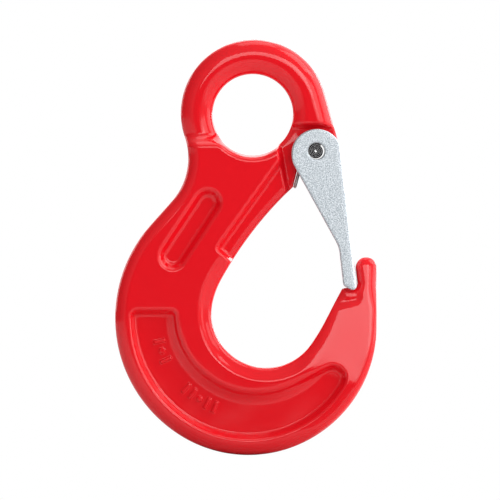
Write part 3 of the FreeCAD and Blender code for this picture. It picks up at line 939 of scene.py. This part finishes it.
@dataclass(frozen=True)
class Spring:
    """The double torsion spring: a bridge that stays, two free legs that turn, and two coils that ride on no
    body.

    The bridge rides on the hook and the free legs on the latch.

    Lengths are in mm, directions in degrees.

    Attributes:
        centre: Pin centre.
        coil: Mean radius of the coils.
        wire: Wire diameter.
        near: Y of the coils' inner end.
        far: Y of the coils' outer end.
        free_from: Direction from the pin at which the free leg leaves the coil.
        fixed_from: Direction at which the fixed leg leaves it, a turn further on.
        free_end: Free leg's end.
        bridge: Bridge's centre.
        bend: Radius of the bridge's bends.
        coil_points: Points along a coil.
        leg_points: Points along a free leg.
        fixed_points: Points along a fixed leg.
    """

    centre: tuple[float, float] = (19.812, -11.485)
    coil: float = 3.6
    wire: float = 1.0
    near: float = 3.58
    far: float = 5.12
    free_from: float = 11.5
    fixed_from: float = 525.2
    free_end: tuple[float, float] = (26.75, -27.42)
    bridge: tuple[float, float] = (13.14, -22.6)
    bend: float = 1.1
    coil_points: int = 120
    leg_points: int = 12
    fixed_points: int = 16

    def tube(
        self, name: str, path: np.ndarray, across: np.ndarray, round_count: int = 18
    ) -> bpy.types.Object:
        """Sweep the wire along a path, with closed ends.

        Args:
            name: Object name.
            path: (n, 3) array of the wire's centre.
            across: Direction that is never along the path.
            round_count: Points around the wire.

        Returns:
            The object.
        """
        ahead = np.gradient(path, axis=0)
        ahead /= np.linalg.norm(ahead, axis=1)[:, None]
        u = np.cross(ahead, across)
        u /= np.linalg.norm(u, axis=1)[:, None]
        v = np.cross(ahead, u)
        angle = np.linspace(0, 2 * math.pi, round_count, endpoint=False)
        ring = np.cos(angle)[None, :, None] * u[:, None] + np.sin(angle)[None, :, None] * v[:, None]
        points = (path[:, None] + ring * self.wire / 2).reshape(-1, 3)
        count = len(path)
        i, j = np.meshgrid(np.arange(count - 1), np.arange(round_count), indexing="ij")
        after = (j + 1) % round_count
        a, b = i * round_count + j, i * round_count + after
        faces = np.stack([a, b, b + round_count, a + round_count], -1).reshape(-1, 4).tolist()
        ends = [list(range(round_count))[::-1], list(range((count - 1) * round_count, count * round_count))]
        return solid(name, points, faces + ends)

    def on_coil(self, direction: np.ndarray) -> np.ndarray:
        """Places of the wire's centre around the pin.

        Args:
            direction: Directions in degrees.

        Returns:
            (n, 2) array.
        """
        turn = np.radians(direction)
        return np.column_stack(
            [self.centre[0] + self.coil * np.cos(turn), self.centre[1] + self.coil * np.sin(turn)]
        )

    def build(self) -> list[tuple[bpy.types.Object, Body | None, float]]:
        """Build the spring's pieces.

        Returns:
            Each piece with its body, or None for the coils, which ride on no body, and its side.
        """
        made: list[tuple[bpy.types.Object, Body | None, float]] = []
        up = np.array([0.0, 1.0, 0.0])
        for side, word in ((-1.0, "front"), (1.0, "back")):
            turn = np.linspace(self.free_from, self.fixed_from, self.coil_points)
            flat = self.on_coil(turn)
            depth = side * np.linspace(self.far, self.near, len(turn))
            coil = np.column_stack([flat[:, 0], depth, flat[:, 1]])
            made.append((self.tube(f"spring_coil_{word}", coil, up), None, side))
            top = self.on_coil(np.array([self.free_from]))[0]
            share = np.linspace(0, 1, self.leg_points)[:, None]
            leg = np.array([self.free_end]) * (1 - share) + top * share
            free = np.column_stack([leg[:, 0], np.full(self.leg_points, side * self.far), leg[:, 1]])
            made.append((self.tube(f"spring_leg_{word}", free, up), Body.LATCH, side))
        top = self.on_coil(np.array([self.fixed_from]))[0]
        low = np.array(self.bridge)
        down = (low - top) / np.linalg.norm(low - top)
        share = np.linspace(0, 1, self.fixed_points)[:, None]
        leg = top * (1 - share) + (low - down * self.bend) * share
        quarter = np.linspace(0, math.pi / 2, 9)[1:]
        inset = self.bend * (1 - np.cos(quarter))
        drop = -self.bend + self.bend * np.sin(quarter)
        bend = low + drop[:, None] * down
        half = np.vstack(
            [
                np.column_stack([leg[:, 0], np.full(self.fixed_points, -self.near), leg[:, 1]]),
                np.column_stack([bend[:, 0], -self.near + inset, bend[:, 1]]),
            ]
        )
        other = half[::-1] * np.array([1.0, -1.0, 1.0])
        across = np.array([-down[1], 0.0, down[0]])
        made.append((self.tube("spring_bridge", np.vstack([half, other]), across), Body.HOOK, 0.0))
        return made


@dataclass(frozen=True)
class Lamp:
    """One soft lamp, aimed at the hook.

    Attributes:
        name: Its name.
        around: Direction from the hook in degrees, 0 towards the camera and 90 to the right.
        above: Height of that direction in degrees.
        size: Width and height in metres.
        power: Watts.
        distance: Distance from the hook in metres.
    """

    name: str
    around: float
    above: float
    size: tuple[float, float]
    power: float
    distance: float = 0.9

    def build(self, aim: Vector) -> None:
        """Place the lamp.

        Args:
            aim: Point that it shines at.
        """
        a, e = math.radians(self.around), math.radians(self.above)
        out = Vector((math.sin(a) * math.cos(e), -math.cos(a) * math.cos(e), math.sin(e)))
        light = bpy.data.lights.new(self.name, "AREA")
        light.shape = "RECTANGLE"
        light.size, light.size_y = self.size
        light.energy = self.power
        made = bpy.data.objects.new(self.name, light)
        made.location = aim + out * self.distance
        made.rotation_euler = (-out).to_track_quat("-Z", "Y").to_euler()
        bpy.context.scene.collection.objects.link(made)


@dataclass(frozen=True)
class Studio:
    """Pale floor, white surround, soft lamps and a square-on camera.

    Attributes:
        floor: Height of the floor in metres.
        width: Width of the picture at the hook, in metres.
        centre: Middle of the picture in metres.
        distance: Camera distance in metres.
        room: Brightness of the room.
        behind_camera: Brightness of the room's dark part, behind the camera.
        glow: Extra brightness of the white wall behind the hook, on its right.
        left_shade: What the room loses on its left.
        dark_cone: Span of the direction's Y over which the dark part ends.
        glow_toward: Direction of the glow.
        glow_edge: Span over which the glow grows, 1 straight at it.
        left_edge: Span of the direction's X over which the left shade ends.
        paper: Colour of the floor.
        floor_reach: Half width of the floor in mm.
    """

    floor: float = -0.1064
    width: float = 0.15583
    centre: tuple[float, float, float] = (-0.00087, 0.0, -0.0423)
    distance: float = 1.2
    room: float = 0.45
    behind_camera: float = 0.12
    glow: float = 2.0
    left_shade: float = -0.26
    dark_cone: Span = Span(-0.985, -0.93)
    glow_toward: tuple[float, float, float] = (0.6, 0.75, 0.28)
    glow_edge: Span = Span(0.1, 0.8)
    left_edge: Span = Span(-0.9, -0.2)
    paper: str = "#BDBDBD"
    floor_reach: float = 1500.0

    def build(self) -> None:
        """Build the studio."""
        scene = bpy.context.scene
        corners = np.array([[-1.0, -1.0], [1.0, -1.0], [1.0, 1.0], [-1.0, 1.0]]) * self.floor_reach
        points = np.column_stack([corners, np.full(4, self.floor / MM)])
        floor = solid("studio_floor", points, [[0, 1, 2, 3]])
        paper, shader = new_material("white_paper")
        shader.inputs["Base Color"].default_value = linear(self.paper)
        shader.inputs["Roughness"].default_value = 0.9
        floor.data.materials.append(paper)
        world = bpy.data.worlds.new("studio")
        world.use_nodes = True
        scene.world = world
        tree = world.node_tree
        tree.nodes.clear()
        seen = add_node(tree, "ShaderNodeBackground", Color=linear("#FFFFFF"), Strength=1.0)
        room = add_node(tree, "ShaderNodeBackground", Color=linear("#FFFFFF"), Strength=self.room)
        toward = add_node(tree, "ShaderNodeTexCoord").outputs["Generated"]
        split = add_node(tree, "ShaderNodeSeparateXYZ", Vector=toward)
        dark = add_node(tree, "ShaderNodeMapRange", Value=split.outputs["Y"])
        dark.inputs["From Min"].default_value = self.dark_cone.low
        dark.inputs["From Max"].default_value = self.dark_cone.high
        dark.inputs["To Min"].default_value = self.behind_camera
        dark.inputs["To Max"].default_value = self.room
        away = add_node(tree, "ShaderNodeVectorMath", operation="DOT_PRODUCT")
        tree.links.new(toward, away.inputs[0])
        away.inputs[1].default_value = self.glow_toward
        glow = add_node(tree, "ShaderNodeMapRange", Value=away.outputs["Value"])
        glow.inputs["From Min"].default_value = self.glow_edge.low
        glow.inputs["From Max"].default_value = self.glow_edge.high
        glow.inputs["To Max"].default_value = self.glow
        left = add_node(tree, "ShaderNodeMapRange", Value=split.outputs["X"])
        left.inputs["From Min"].default_value = self.left_edge.low
        left.inputs["From Max"].default_value = self.left_edge.high
        left.inputs["To Min"].default_value = self.left_shade
        left.inputs["To Max"].default_value = 0.0
        sides = add_node(tree, "ShaderNodeMath", operation="ADD")
        tree.links.new(left.outputs["Result"], sides.inputs[0])
        tree.links.new(glow.outputs["Result"], sides.inputs[1])
        both = add_node(tree, "ShaderNodeMath", operation="ADD")
        both.use_clamp = False
        tree.links.new(dark.outputs["Result"], both.inputs[0])
        tree.links.new(sides.outputs["Value"], both.inputs[1])
        tree.links.new(both.outputs["Value"], room.inputs["Strength"])
        path = add_node(tree, "ShaderNodeLightPath")
        either = tree.nodes.new("ShaderNodeMixShader")
        output = tree.nodes.new("ShaderNodeOutputWorld")
        tree.links.new(path.outputs["Is Camera Ray"], either.inputs[0])
        tree.links.new(room.outputs[0], either.inputs[1])
        tree.links.new(seen.outputs[0], either.inputs[2])
        tree.links.new(either.outputs[0], output.inputs["Surface"])
        aim = Vector(self.centre)
        for lamp in (
            Lamp("lamp_over_camera", 5, 15, (0.5, 0.24), 1.15),
            Lamp("lamp_by_camera", 24, 12, (0.5, 0.24), 0.6),
            Lamp("lamp_right_high", 55, 45, (0.45, 0.45), 1.5),
            Lamp("lamp_right", 72, 15, (0.7, 0.8), 2.6),
            Lamp("lamp_top", 10, 80, (0.45, 0.45), 0.9),
            Lamp("lamp_behind_right", 125, 15, (0.45, 0.45), 2.8),
            Lamp("lamp_behind_left", -125, 15, (0.45, 0.45), 1.0),
            Lamp("lamp_behind", 180, 50, (0.45, 0.45), 1.2),
        ):
            lamp.build(aim)
        camera = bpy.data.cameras.new("camera")
        camera.type = "ORTHO"
        camera.ortho_scale = self.width
        camera.clip_end = 20
        made = bpy.data.objects.new("camera", camera)
        made.location = (self.centre[0], -self.distance, self.centre[2])
        made.rotation_euler = (math.pi / 2, 0, 0)
        scene.collection.objects.link(made)
        scene.camera = made
        scene.view_settings.view_transform = "Standard"
        LOG.info("studio ready")


def main() -> None:
    """Build the hook's pieces, dress them and set the studio."""
    logging.basicConfig(level=logging.INFO, format="%(name)s %(message)s")
    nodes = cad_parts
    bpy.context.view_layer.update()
    forging = Forging()
    dress(forging.build(nodes["hook_body"]), RED_ENAMEL.material(), Body.HOOK, "hook_body")
    dress(LatchCasting().build(nodes["latch"]), ZINC_PLATE.material(), Body.LATCH, "latch")
    pin = nodes["latch_pin"]
    pin.data.materials.clear()
    pin.data.materials.append(BLACK_STEEL.material())
    LOG.info("latch_pin: CAD node kept, finish %s", BLACK_STEEL.name)
    wire = SPRING_STEEL.material()
    spring = Spring()
    for piece, body, side in spring.build():
        piece.data.materials.append(wire)
        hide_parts("latch_spring")
        if body is None:
            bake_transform(piece)
        else:
            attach(piece, body.value)
        LOG.info("%s: %d faces", piece.name, len(piece.data.polygons))
    Studio().build()


if __name__ == "__main__":
    main()
